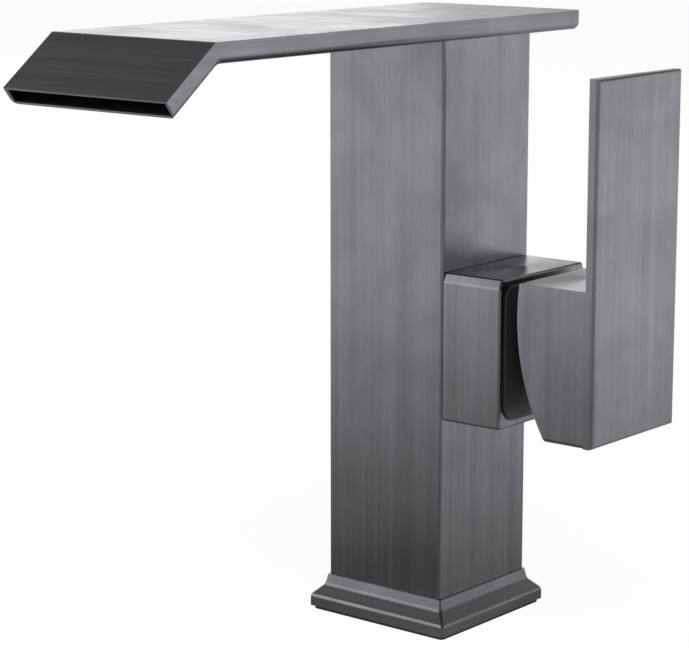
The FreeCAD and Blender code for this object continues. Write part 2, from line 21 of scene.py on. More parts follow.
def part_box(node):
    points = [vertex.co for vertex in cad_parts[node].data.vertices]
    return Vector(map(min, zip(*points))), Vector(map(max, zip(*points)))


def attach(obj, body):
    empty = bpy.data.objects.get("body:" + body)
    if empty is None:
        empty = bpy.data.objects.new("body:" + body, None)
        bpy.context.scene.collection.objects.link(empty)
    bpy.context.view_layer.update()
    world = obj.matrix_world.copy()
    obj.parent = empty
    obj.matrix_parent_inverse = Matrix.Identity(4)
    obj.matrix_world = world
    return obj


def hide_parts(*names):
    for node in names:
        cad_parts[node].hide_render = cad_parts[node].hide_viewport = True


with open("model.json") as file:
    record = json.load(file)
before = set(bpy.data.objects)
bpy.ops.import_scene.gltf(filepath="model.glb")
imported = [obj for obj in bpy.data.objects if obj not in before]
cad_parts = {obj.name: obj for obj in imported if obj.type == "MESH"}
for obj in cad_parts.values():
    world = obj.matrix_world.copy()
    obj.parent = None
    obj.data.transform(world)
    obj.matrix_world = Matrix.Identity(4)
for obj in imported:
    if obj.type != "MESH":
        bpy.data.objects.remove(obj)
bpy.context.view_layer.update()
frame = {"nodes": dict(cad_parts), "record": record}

log = logging.getLogger("faucet")
MILLIMETRE = 0.001
TOUCH = 1e-6  # counts as no distance
THROUGH = 0.001  # how far a cutter runs past a face
ROUND_STEPS = 96
EDGE_STEPS = 4
SHARP_ANGLE = math.radians(32.0)
THREAD_FOOT, THREAD_POINT = 0.47, 0.06  # half widths of a thread's ridge, as shares of its pitch
DRAWN_OUT = 0.012  # a brushed pattern's scale along its lines
BROAD_LINES, WIDE_LINES = 0.22, 0.07  # scales of the coarser lines beside the fine ones
WHITE = (1.0, 1.0, 1.0)
MIX_COLOURS, MIX_RESULT = (6, 7), 2  # the Mix node's sockets for colours

Triple = tuple[float, float, float]
Span = tuple[float, float]
EdgeTest = Callable[[BMEdge], bool]
SocketValue = Union[float, tuple, NodeSocket]
Inputs = dict[Union[str, int], SocketValue]


class Axis(Enum):
    """A direction of the shared frame."""

    X = 0
    Y = 1
    Z = 2

    @property
    def vector(self) -> Vector:
        """The unit vector along the axis."""
        return Vector([float(index == self.value) for index in range(3)])

    @property
    def turn(self) -> Matrix:
        """The turn that lays +Z along the axis."""
        return Z.vector.rotation_difference(self.vector).to_matrix().to_4x4()


X, Y, Z = Axis


class Body(Enum):
    """The frame's bodies that new pieces ride on."""

    FAUCET = "faucet_body"
    LEVER = "lever"


class Slot(Enum):
    """The record's material slots."""

    GUNMETAL = "brushed_gunmetal"
    BRASS = "brass"
    COPPER = "copper"
    RUBBER = "black_rubber"
    BLACK_PLASTIC = "black_plastic"
    PALE_PLASTIC = "pale_plastic"
    CERAMIC = "white_ceramic"
    STEEL = "plain_steel"
    PLUG = "grey_plug"


class Port(Enum):
    """The record's threaded mounts."""

    HOT = "hot_inlet"
    COLD = "cold_inlet"
    STUD = "stud_hole"


class Join(Enum):
    """How two solids are put together."""

    CUT = "DIFFERENCE"
    WELD = "UNION"


class Brush(Enum):
    """Which way a brushed face is rubbed, as the scale of its line pattern."""

    UPRIGHT = (1.0, 1.0, DRAWN_OUT)
    CROSSWISE = (DRAWN_OUT, 1.0, 1.0)
    LENGTHWISE = (1.0, DRAWN_OUT, 1.0)
    LEVEL = (DRAWN_OUT, DRAWN_OUT, 1.0)


def run(edge: BMEdge) -> Vector:
    """The way from an edge's first end to its other end."""
    return edge.verts[1].co - edge.verts[0].co


def along(axis: Axis) -> EdgeTest:
    """A test for edges that run along an axis."""
    return lambda edge: abs(run(edge).normalized().dot(axis.vector)) > 1 - TOUCH


def touching(reach: Callable[[Vector], float]) -> EdgeTest:
    """A test for edges whose two ends lie on the surface where reach is zero."""
    return lambda edge: all(abs(reach(vert.co)) < TOUCH for vert in edge.verts)


def level_with(axis: Axis, place: float) -> EdgeTest:
    """A test for edges that lie in the plane square to an axis at a place."""
    return touching(lambda point: point[axis.value] - place)


class Solid:
    """A closed mesh in the making, shaped by bmesh operators."""

    def __init__(self) -> None:
        """Starts with nothing in the mesh."""
        self.bm = bmesh.new()

    @classmethod
    def block(cls, low: Vector, high: Vector) -> "Solid":
        """Makes a box.

        Args:
            low: its lowest corner.
            high: its highest corner.

        Returns:
            The box as a solid.
        """
        solid = cls()
        bmesh.ops.create_cube(solid.bm, size=1.0)
        bmesh.ops.scale(solid.bm, vec=high - low, verts=solid.bm.verts)
        bmesh.ops.translate(solid.bm, vec=(low + high) / 2, verts=solid.bm.verts)
        return solid

    @classmethod
    def rod(cls, axis: Axis, start: Vector, length: float, radius: float) -> "Solid":
        """Makes a round bar.

        Args:
            axis: the way it runs.
            start: the middle of its first end.
            length: how long it is.
            radius: its radius.

        Returns:
            The bar as a solid.
        """
        solid = cls()
        place = Matrix.Translation(start + axis.vector * length / 2) @ axis.turn
        bmesh.ops.create_cone(solid.bm, cap_ends=True, segments=ROUND_STEPS, radius1=radius,
                              radius2=radius, depth=length, matrix=place)
        return solid

    @classmethod
    def drill(cls, axis: Axis, mouth: Vector, depth: float, radius: float,
              through: bool = False) -> "Solid":
        """A round hole's cutter, which runs past its mouth and, where it goes through, its end."""
        overrun = 2 * THROUGH if through else THROUGH
        return cls.rod(axis, mouth - axis.vector * THROUGH, depth + overrun, radius)

    @classmethod
    def prism(cls, outline: Sequence[Vector], push: Vector) -> "Solid":
        """Pushes a flat outline straight out.

        Args:
            outline: the outline's corners in order.
            push: how far and which way it is pushed.

        Returns:
            The prism as a solid.
        """
        solid = cls()
        face = solid.bm.faces.new([solid.bm.verts.new(point) for point in outline])
        bmesh.ops.translate(solid.bm, vec=push, verts=solid.draw_out(face))
        bmesh.ops.recalc_face_normals(solid.bm, faces=solid.bm.faces)
        return solid

    @classmethod
    def turned(cls, axis: Axis, centre: Vector, profile: Sequence[Span]) -> "Solid":
        """Turns a closed profile a full round.

        Args:
            axis: the axis of the round.
            centre: a point on that axis.
            profile: corners as a place along the axis from the centre and a radius.

        Returns:
            The turned shape as a solid.
        """
        solid = cls()
        outward = axis.turn.to_3x3() @ X.vector
        line = solid.closed_line(centre + axis.vector * place + outward * radius
                                 for place, radius in profile)
        bmesh.ops.spin(solid.bm, geom=line, cent=centre, axis=axis.vector, angle=math.tau,
                       steps=ROUND_STEPS, use_merge=True, use_duplicate=False)
        bmesh.ops.remove_doubles(solid.bm, verts=solid.bm.verts, dist=TOUCH)
        bmesh.ops.recalc_face_normals(solid.bm, faces=solid.bm.faces)
        return solid

    @classmethod
    def thread(cls, start: Vector, root: float, crest: float, pitch: float, turns: int) -> "Solid":
        """Winds a pointed ridge up the wall of an upright hole.

        Args:
            start: the middle of the hole at the ridge's lower end.
            root: the radius of the wall.
            crest: the radius of the ridge's point.
            pitch: how far the ridge climbs in a turn.
            turns: how many turns it makes.

        Returns:
            The ridge as a solid.
        """
        solid = cls()
        foot, point = pitch * THREAD_FOOT, pitch * THREAD_POINT
        section = [(root, -foot), (crest, -point), (crest, point), (root, foot)]
        line = solid.closed_line(start + Vector((radius, 0.0, rise)) for radius, rise in section)
        steps = ROUND_STEPS // 2
        bmesh.ops.spin(solid.bm, geom=line, cent=start, axis=Z.vector,
                       angle=math.tau * turns, dvec=Z.vector * pitch / steps,
                       steps=steps * turns, use_duplicate=False)
        bmesh.ops.holes_fill(solid.bm, edges=solid.bm.edges, sides=len(section))
        bmesh.ops.recalc_face_normals(solid.bm, faces=solid.bm.faces)
        return solid

    def closed_line(self, points: Iterable[Vector]) -> list[Union[BMVert, BMEdge]]:
        """Lays a closed line through some points, and gives its vertices and edges."""
        corners = [self.bm.verts.new(point) for point in points]
        return corners + [self.bm.edges.new(side)
                          for side in zip(corners, corners[1:] + corners[:1])]

    def draw_out(self, face: BMFace, *rims: BMEdge) -> list[BMVert]:
        """Draws walls out of a face, and gives the vertices of their free end."""
        grown = bmesh.ops.extrude_face_region(self.bm, geom=[face, *rims])
        return [item for item in grown["geom"] if isinstance(item, BMVert)]

    def raise_top(self, rise: float, spread: float) -> None:
        """Draws the top face up and in.

        Args:
            rise: how far up it goes.
            spread: its new width as a share of its old one.
        """
        top = max(self.bm.faces, key=lambda face: face.calc_center_median().z)
        ends = self.draw_out(top, *top.edges)
        bmesh.ops.translate(self.bm, vec=Z.vector * rise, verts=ends)
        bmesh.ops.scale(self.bm, vec=(spread, spread, 1.0), verts=ends)

    def bevel(self, width: float, *tests: EdgeTest, segments: int = EDGE_STEPS) -> "Solid":
        """Rounds the edges that pass every test.

        Args:
            width: the size of the rounding.
            tests: what an edge has to pass; every edge is rounded where there are none.
            segments: how many strips make the rounding.

        Returns:
            This solid.
        """
        edges = [edge for edge in self.bm.edges if all(test(edge) for test in tests)]
        bmesh.ops.bevel(self.bm, geom=edges, offset=width, segments=segments, profile=0.5,
                        affect="EDGES", material=-1, clamp_overlap=True)
        return self

    def with_tools(self, join: Join, *tools: "Solid") -> "Solid":
        """Cuts tools out of this solid or welds them to it.

        Args:
            join: what is done with the tools.
            tools: the solids that are used up.

        Returns:
            This solid.
        """
        shapes = [solid.as_object("shape") for solid in (self, *tools)]
        for tool in shapes[1:]:
            step = shapes[0].modifiers.new("join", "BOOLEAN")
            step.operation = join.value
            step.solver = "EXACT"
            step.object = tool
        bpy.context.view_layer.update()
        finished = shapes[0].evaluated_get(bpy.context.evaluated_depsgraph_get())
        made = bpy.data.meshes.new_from_object(finished)
        self.bm = bmesh.new()
        self.bm.from_mesh(made)
        for mesh in [made] + [shape.data for shape in shapes]:
            bpy.data.meshes.remove(mesh)
        bmesh.ops.remove_doubles(self.bm, verts=self.bm.verts, dist=TOUCH)
        return self

    def as_object(self, name: str) -> Object:
        """Turns the solid into an object at the origin and lets go of its bmesh.

        Args:
            name: the object's name.

        Returns:
            The object.
        """
        mesh = bpy.data.meshes.new(name)
        self.bm.to_mesh(mesh)
        self.bm.free()
        made = bpy.data.objects.new(name, mesh)
        bpy.context.scene.collection.objects.link(made)
        return made


class NodeSheet:
    """A node tree with short calls for laying and joining its nodes."""

    def __init__(self, tree: NodeTree) -> None:
        """Clears the tree."""
        self.tree = tree
        tree.nodes.clear()

    def feed(self, socket: NodeSocket, value: SocketValue) -> None:
        """Joins an input to another node's output or sets its value.

        Args:
            socket: the input.
            value: the output that feeds it, or a number, a vector or a colour.
        """
        if isinstance(value, NodeSocket):
            self.tree.links.new(value, socket)
        elif socket.type == "RGBA":
            socket.default_value = (*value, 1.0)
        else:
            socket.default_value = value

    def add(self, kind: str, inputs: Optional[Inputs] = None, **settings: object) -> Node:
        """Adds one node.

        Args:
            kind: the node's type name.
            inputs: what feeds each named input.
            settings: the node's own options.

        Returns:
            The new node.
        """
        node = self.tree.nodes.new(kind)
        for option, value in settings.items():
            setattr(node, option, value)
        for name, value in (inputs or {}).items():
            self.feed(node.inputs[name], value)
        return node

    def lay(self, kind: str, inputs: Inputs, **settings: object) -> NodeSocket:
        """Adds one node, and gives its first output."""
        return self.add(kind, inputs, **settings).outputs[0]

    def maths(self, operation: str, first: SocketValue, second: SocketValue = 0.0) -> NodeSocket:
        """The result of a two-number Math node."""
        return self.lay("ShaderNodeMath", {0: first, 1: second}, operation=operation)

    def vectors(self, operation: str, first: NodeSocket,
                second: Triple = (0.0, 0.0, 0.0)) -> NodeSocket:
        """The vector or the number that a Vector Math node gives."""
        node = self.add("ShaderNodeVectorMath", {0: first, 1: second}, operation=operation)
        return node.outputs["Value" if operation in ("LENGTH", "DOT_PRODUCT") else "Vector"]

    def noise(self, place: NodeSocket, scale: NodeSocket, detail: float, roughness: float = 0.5,
              distortion: float = 0.0) -> NodeSocket:
        """The grey of a Noise Texture."""
        inputs = {"Vector": place, "Scale": scale, "Detail": detail, "Roughness": roughness}
        return self.lay("ShaderNodeTexNoise", {**inputs, "Distortion": distortion})

    def spread(self, value: NodeSocket, span: Span, to: Span = (0.0, 1.0),
               smooth: bool = False) -> NodeSocket:
        """Moves a value from one span to another and keeps it inside.

        Args:
            value: what is moved.
            span: the ends of the span that it comes from.
            to: the ends of the span that it goes to.
            smooth: whether it eases in and out at the ends.

        Returns:
            The moved value.
        """
        names = ("Value", "From Min", "From Max", "To Min", "To Max")
        limits = dict(zip(names, (value, *span, *to)))
        shape = "SMOOTHSTEP" if smooth else "LINEAR"
        return self.lay("ShaderNodeMapRange", limits, interpolation_type=shape)

    def blend(self, factor: NodeSocket, first: SocketValue, second: SocketValue) -> NodeSocket:
        """Two colours mixed by the share of the second one."""
        inputs = {"Factor": factor, **dict(zip(MIX_COLOURS, (first, second)))}
        return self.add("ShaderNodeMix", inputs, data_type="RGBA").outputs[MIX_RESULT]

    def group(self, tree: NodeTree, place: NodeSocket, number: float) -> NodeOutputs:
        """Places a shared node group, and gives its outputs."""
        return self.add("ShaderNodeGroup", {0: place, 1: number}, node_tree=tree).outputs


def new_group(name: str, number: str, *outputs: str) -> tuple[NodeSheet, NodeSocket, NodeSocket]:
    """Starts a shared node group that is given a place and a number.

    Args:
        name: the group's name.
        number: the name of its number input.
        outputs: the names of its number outputs.

    Returns:
        The group's sheet, and the outputs that give the place and the number.
    """
    tree = bpy.data.node_groups.new(name, "ShaderNodeTree")
    tree.interface.new_socket("Vector", in_out="INPUT", socket_type="NodeSocketVector")
    tree.interface.new_socket(number, in_out="INPUT", socket_type="NodeSocketFloat")
    for label in outputs:
        tree.interface.new_socket(label, in_out="OUTPUT", socket_type="NodeSocketFloat")
    sheet = NodeSheet(tree)
    given = sheet.add("NodeGroupInput").outputs
    return sheet, given["Vector"], given[number]


@cache
def rubbed_lines() -> NodeTree:
    """Makes the group for brushed metal: fine, broad and wide lines in one pattern.

    Returns:
        The shared group.
    """
    sheet, place, fineness = new_group("rubbed_lines", "Fineness", "Tone", "Height")
    fine = sheet.noise(place, fineness, detail=3.0, roughness=0.65)
    broad = sheet.noise(place, sheet.maths("MULTIPLY", fineness, BROAD_LINES), detail=2.0)
    wide = sheet.noise(place, sheet.maths("MULTIPLY", fineness, WIDE_LINES), detail=1.0)
    every = sheet.maths("ADD", sheet.maths("ADD", fine, broad), wide)
    tone = sheet.spread(every, span=(1.1, 1.9))
    sheet.add("NodeGroupOutput", {"Tone": tone, "Height": fine})
    return sheet.tree


@cache
def handled_marks() -> NodeTree:
    """Makes the group for slow changes over a surface, as from wiping and handling.

    Returns:
        The shared group.
    """
    sheet, place, scale = new_group("handled_marks", "Scale", "Mask")
    cloud = sheet.noise(place, scale, detail=4.0, roughness=0.6, distortion=0.4)
    mask = sheet.spread(cloud, span=(0.35, 0.68), smooth=True)
    sheet.add("NodeGroupOutput", {"Mask": mask})
    return sheet.tree


@cache
def moulded_grain() -> NodeTree:
    """Makes the group for the fine pebbled skin of moulded and cast pieces.

    Returns:
        The shared group.
    """
    sheet, place, scale = new_group("moulded_grain", "Scale", "Tone", "Height")
    cells = {"Vector": place, "Scale": scale, "Randomness": 1.0}
    pebbles = sheet.lay("ShaderNodeTexVoronoi", cells)
    specks = sheet.noise(place, scale, detail=3.0)
    height = sheet.maths("MULTIPLY", pebbles, specks)
    tone = sheet.spread(specks, span=(0.3, 0.7))
    sheet.add("NodeGroupOutput", {"Tone": tone, "Height": height})
    return sheet.tree


@dataclass(frozen=True)
class Finish:
    """A surface finish that makes one procedural material."""

    name: str
    slot: Slot
    dark: Triple
    light: Triple
    roughness: float
    dulling: Span = (0.0, 0.0)
    mark_scale: float = 45.0
    relief_depth: float = 0.00002
    relief_strength: float = 0.35

    def material(self) -> Material:
        """Makes the finish's material the first time that it is asked for.

        Returns:
            The material.
        """
        found = bpy.data.materials.get(self.name)
        if found is None:
            found = bpy.data.materials.new(self.name)
            found.use_nodes = True
            sheet = NodeSheet(found.node_tree)
            sheet.add("ShaderNodeOutputMaterial", {"Surface": self.shade(sheet)})
        return found

    def shade(self, sheet: NodeSheet) -> NodeSocket:
        """Lays the finish's own nodes.

        Args:
            sheet: the material's empty sheet.

        Returns:
            The shader's output.
        """
        raise NotImplementedError

    def marks(self, sheet: NodeSheet, place: NodeSocket) -> NodeSocket:
        """The mask of the marks of handling."""
        return sheet.group(handled_marks(), place, self.mark_scale)["Mask"]

    def dulled(self, sheet: NodeSheet, mask: NodeSocket) -> NodeSocket:
        """The roughness, which a mask moves through the span of the dulling."""
        return sheet.spread(mask, (0.0, 1.0), tuple(self.roughness + step for step in self.dulling))

    def shader(self, sheet: NodeSheet, tone: NodeSocket, roughness: NodeSocket,
               height: NodeSocket, **plain: float) -> NodeSocket:
        """Lays the Principled shader with its colour and its relief.

        Args:
            sheet: the material's sheet.
            tone: the share of the light colour.
            roughness: how dull the surface is.
            height: how far it stands up.
            plain: values that are the same all over the surface.

        Returns:
            The shader's output.
        """
        colour = sheet.blend(tone, self.dark, self.light)
        relief = {"Strength": self.relief_strength, "Distance": self.relief_depth, "Height": height}
        normal = sheet.lay("ShaderNodeBump", relief)
        changing = {"Base Color": colour, "Roughness": roughness, "Normal": normal}
        return sheet.lay("ShaderNodeBsdfPrincipled", {**changing, **plain})

    def put_on(self, piece: Object) -> None:
        """Gives the material to every face of a piece.

        Args:
            piece: what gets the finish.
        """
        piece.data.materials.clear()
        piece.data.materials.append(self.material())
        for face in piece.data.polygons:
            face.material_index = 0


@dataclass(frozen=True)
class BrushedMetal(Finish):
    """Metal rubbed one way with a fine abrasive, with faint marks of handling."""

    dulling: Span = (-0.04, 0.05)
    brush: Brush = Brush.UPRIGHT
    side_brush: Brush = Brush.UPRIGHT
    top_brush: Brush = Brush.CROSSWISE
    facing: float = 0.85
    fineness: float = 2600.0
    mark_tone: float = 0.25
    smudge: float = 0.05
    stretch: float = 0.0

    def shade(self, sheet: NodeSheet) -> NodeSocket:
        """Lays rubbed lines that change their way with the way that a face looks.

        Args:
            sheet: the material's empty sheet.

        Returns:
            The shader's output.
        """
        place = sheet.add("ShaderNodeTexCoord").outputs
        normal = sheet.add("ShaderNodeSeparateXYZ", {0: place["Normal"]}).outputs
        sideways, upward = (
            sheet.maths("GREATER_THAN", sheet.maths("ABSOLUTE", normal[way]), self.facing)
            for way in ("X", "Z"))
        front, side, top = (
            sheet.lay("ShaderNodeMapping", {"Vector": place["Object"], "Scale": brush.value})
            for brush in (self.brush, self.side_brush, self.top_brush))
        lines_at = sheet.blend(upward, sheet.blend(sideways, front, side), top)
        lines = sheet.group(rubbed_lines(), lines_at, self.fineness)
        marks = self.marks(sheet, place["Object"])
        tone = sheet.maths("SUBTRACT", lines["Tone"],
                           sheet.maths("MULTIPLY", marks, self.mark_tone))
        roughness = sheet.maths("ADD", self.dulled(sheet, lines["Tone"]),
                                sheet.maths("MULTIPLY", marks, self.smudge))
        return self.shader(sheet, tone, roughness, lines["Height"], Metallic=1.0,
                           Anisotropic=self.stretch)


@dataclass(frozen=True)
class GrainedSkin(Finish):
    """A fine pebbled skin, as of moulded plastic, rubber or pressed ceramic."""

    dulling: Span = (-0.04, 0.06)
    mark_scale: float = 90.0
    relief_depth: float = 0.00003
    relief_strength: float = 0.4
    grain: float = 2500.0
    mark_tone: float = 0.0
    metallic: float = 0.0

    def shade(self, sheet: NodeSheet) -> NodeSocket:
        """Lays the skin, and dark patches where the finish has them.

        Args:
            sheet: the material's empty sheet.

        Returns:
            The shader's output.
        """
        place = sheet.add("ShaderNodeTexCoord").outputs["Object"]
        skin = sheet.group(moulded_grain(), place, self.grain)
        marks = self.marks(sheet, place)
        tone = skin["Tone"]
        if self.mark_tone:
            tone = sheet.maths("SUBTRACT", tone, sheet.maths("MULTIPLY", marks, self.mark_tone))
        roughness = self.dulled(sheet, marks)
        return self.shader(sheet, tone, roughness, skin["Height"], Metallic=self.metallic)


@dataclass(frozen=True)
class MachinedMetal(GrainedSkin):
    """Plain turned or drawn metal with a faint grain and slow dark patches."""

    dulling: Span = (0.0, 0.18)
    mark_scale: float = 120.0
    relief_depth: float = 0.00002
    relief_strength: float = 0.15
    grain: float = 1800.0
    mark_tone: float = 0.6
    metallic: float = 1.0


UPRIGHT_GUNMETAL = BrushedMetal("gunmetal_upright", Slot.GUNMETAL, (0.246, 0.244, 0.266),
                                (0.353, 0.350, 0.380), 0.32, stretch=0.7)
FINE_GUNMETAL = BrushedMetal("gunmetal_fine", Slot.GUNMETAL, (0.205, 0.203, 0.221),
                             (0.296, 0.293, 0.318), 0.20, stretch=0.8)
CROSS_GUNMETAL = BrushedMetal("gunmetal_crosswise", Slot.GUNMETAL, (0.228, 0.226, 0.246),
                              (0.327, 0.324, 0.352), 0.32, brush=Brush.CROSSWISE,
                              side_brush=Brush.LENGTHWISE)
LEVEL_GUNMETAL = BrushedMetal("gunmetal_level", Slot.GUNMETAL, CROSS_GUNMETAL.dark,
                              CROSS_GUNMETAL.light, 0.32, brush=Brush.LEVEL,
                              side_brush=Brush.LEVEL, top_brush=Brush.LEVEL)
CAST_BRASS = MachinedMetal("cast_brass", Slot.BRASS, (0.55, 0.38, 0.15), (0.80, 0.62, 0.32), 0.30)
DRAWN_COPPER = MachinedMetal("drawn_copper", Slot.COPPER, (0.55, 0.26, 0.15),
                             (0.80, 0.45, 0.30), 0.28)
PLAIN_STEEL = MachinedMetal("plain_steel_finish", Slot.STEEL, (0.50, 0.50, 0.51),
                            (0.66, 0.66, 0.67), 0.26)
SEAL_RUBBER = GrainedSkin("seal_rubber", Slot.RUBBER, (0.018, 0.018, 0.018),
                          (0.034, 0.034, 0.034), 0.62)
# Black plastic; on the collar's square plate it is also painted shade
BLACK_MOULDING_AND_SHADE = GrainedSkin("black_moulding_and_shade", Slot.BLACK_PLASTIC, (0.012, 0.012, 0.013),
                             (0.024, 0.024, 0.025), 0.34, relief_depth=0.000003)
PALE_MOULDING = GrainedSkin("pale_moulding", Slot.PALE_PLASTIC, (0.64, 0.63, 0.58),
                            (0.75, 0.74, 0.70), 0.38)
DISC_CERAMIC = GrainedSkin("disc_ceramic", Slot.CERAMIC, (0.80, 0.79, 0.75),
                           (0.88, 0.87, 0.84), 0.16, relief_depth=0.000004)
PLUG_MOULDING = GrainedSkin("plug_moulding", Slot.PLUG, (0.10, 0.10, 0.105),
                            (0.14, 0.14, 0.147), 0.40)
NODE_FINISHES = (CAST_BRASS, DRAWN_COPPER, PLAIN_STEEL, SEAL_RUBBER, BLACK_MOULDING_AND_SHADE, PALE_MOULDING,
                 DISC_CERAMIC, PLUG_MOULDING, UPRIGHT_GUNMETAL)


def place_piece(solid: Solid, name: str, body: Body, finish: Finish, *stands_for: str) -> None:
    """Makes a solid a finished piece of the faucet.

    Args:
        solid: the shape, which is used up.
        name: the piece's name.
        body: the body that it moves with.
        finish: what its surface is.
        stands_for: the CAD nodes that it replaces.
    """
    piece = solid.as_object(name)
    piece.data.shade_smooth()
    piece.data.set_sharp_from_angle(angle=SHARP_ANGLE)
    shading = piece.modifiers.new("even_shading", "WEIGHTED_NORMAL")
    shading.keep_sharp = True
    finish.put_on(piece)
    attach(piece, body.value)
    if stands_for:
        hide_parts(*stands_for)
    log.info("%s: %d faces on %s", name, len(piece.data.polygons), body.value)


@dataclass
class Base:
    """The stepped flange on the basin deck and the gasket under it."""

    corner_radius: float = 0.0007
    edge_height: float = 0.0033
    slope_height: float = 0.0031
    slope_run: float = 0.0031
    land: float = 0.0003
    seat_gap: float = 0.0001
    seat_corner: float = 0.0012
    ledge: float = 0.0025
    opening_radius: float = 0.0155
    ridge_rounding: float = 0.0006
    ridge_steps: int = 6
    cove_rounding: float = 0.0006
    gasket_corner: float = 0.0012
    gasket_rounding: float = 0.0003
    gasket_steps: int = 3

    def build(self) -> None:
        """Builds the flange and the gasket."""
        self.build_flange()
        self.build_gasket()

    def opening(self, foot_z: float, height: float) -> Solid:
        """The cutter of the round opening through a plate on the column's axis."""
        return Solid.drill(Z, Z.vector * foot_z, height, self.opening_radius, through=True)

    def build_flange(self) -> None:
        """Builds the flange from its foot up: upright edge, slope and steep collar.

        The long level edges are rounded before the short corners, which would hold them back.
        """
        low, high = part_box("base_flange")
        column_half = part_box("column_shell")[1].x
        slope_half = high.x - self.slope_run
        seat_half = column_half + self.seat_gap
        edge_z = low.z + self.edge_height
        slope_z = edge_z + self.slope_height
        flange = Solid.block(low, Vector((high.x, high.y, edge_z)))
        flange.raise_top(self.slope_height, slope_half / high.x)
        flange.raise_top(high.z - slope_z, (seat_half + self.land) / slope_half)
        flange.bevel(self.ridge_rounding, level_with(Z, edge_z), segments=self.ridge_steps)
        flange.bevel(self.cove_rounding, level_with(Z, slope_z))
        flange.bevel(self.corner_radius, lambda edge: abs(run(edge).z) > TOUCH)
        seat = Solid.block(Vector((-seat_half, -seat_half, low.z + self.ledge)),
                           Vector((seat_half, seat_half, high.z + THROUGH)))
        seat.bevel(self.seat_corner, along(Z))
        flange.with_tools(Join.CUT, seat, self.opening(low.z, self.ledge))
        place_piece(flange, "flange", Body.FAUCET, LEVEL_GUNMETAL, "base_flange")

    def build_gasket(self) -> None:
        """Builds the flat rubber gasket with soft outer edges and a round opening."""
        low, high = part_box("base_gasket")
        gasket = Solid.block(low, high).bevel(self.gasket_corner, along(Z))
        gasket.bevel(self.gasket_rounding, level_with(Z, high.z), segments=self.gasket_steps)
        gasket.with_tools(Join.CUT, self.opening(low.z, high.z - low.z))
        place_piece(gasket, "gasket", Body.FAUCET, SEAL_RUBBER, "base_gasket")


@dataclass
class Inlet:
    """The brass block in the column's foot with its threaded ports."""

    corner_radius: float = 0.0010
    hose_pitch: float = 0.0010
    stud_pitch: float = 0.00125
    thread_depth_share: float = 0.54
    plain_turns: int = 2
    supply_bore: float = 0.0030
    socket_radius: float = 0.00405
    socket_depth: float = 0.0060
    screw_hole_radius: float = 0.00155
    screw_hole_depth: float = 0.0080
    screw_inset: float = 0.0038

    def build(self) -> None:
        """Builds the block, and a thread in each port with the sizes that the record gives."""
        low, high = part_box("inlet_block")
        height = high.z - low.z
        block = Solid.block(low, high).bevel(self.corner_radius, along(Z))
        mounts = {mount["name"]: mount for mount in frame["record"]["mounts"]}
        cutters: list[Solid] = []
        for port in Port:
            mount = mounts[port.value]
            pitch = self.stud_pitch if port is Port.STUD else self.hose_pitch
            crest, depth = (mount["dims"][size] * MILLIMETRE for size in ("r_mm", "length_mm"))
            root = crest + pitch * self.thread_depth_share
            mouth = Vector((mount["pos_m"][0], mount["pos_m"][1], low.z))
            cutters.append(Solid.drill(Z, mouth, depth, root))
            turns = int(depth / pitch) - self.plain_turns
            ridge = Solid.thread(mouth + Z.vector * pitch, root, crest, pitch, turns)
            place_piece(ridge, f"{port.value}_thread", Body.FAUCET, CAST_BRASS)
            if port is not Port.STUD:
                socket = mouth + Z.vector * (height - self.socket_depth)
                cutters.append(Solid.rod(Z, mouth, height + THROUGH, self.supply_bore))
                cutters.append(Solid.rod(Z, socket, self.socket_depth + THROUGH,
                                         self.socket_radius))
        for x, y in product((low.x + self.screw_inset, high.x - self.screw_inset),
                            (low.y + self.screw_inset, high.y - self.screw_inset)):
            foot = Vector((x, y, low.z))
            cutters.append(Solid.drill(Z, foot, self.screw_hole_depth, self.screw_hole_radius))
        block.with_tools(Join.CUT, *cutters)
        place_piece(block, "inlet", Body.FAUCET, CAST_BRASS, "inlet_block")


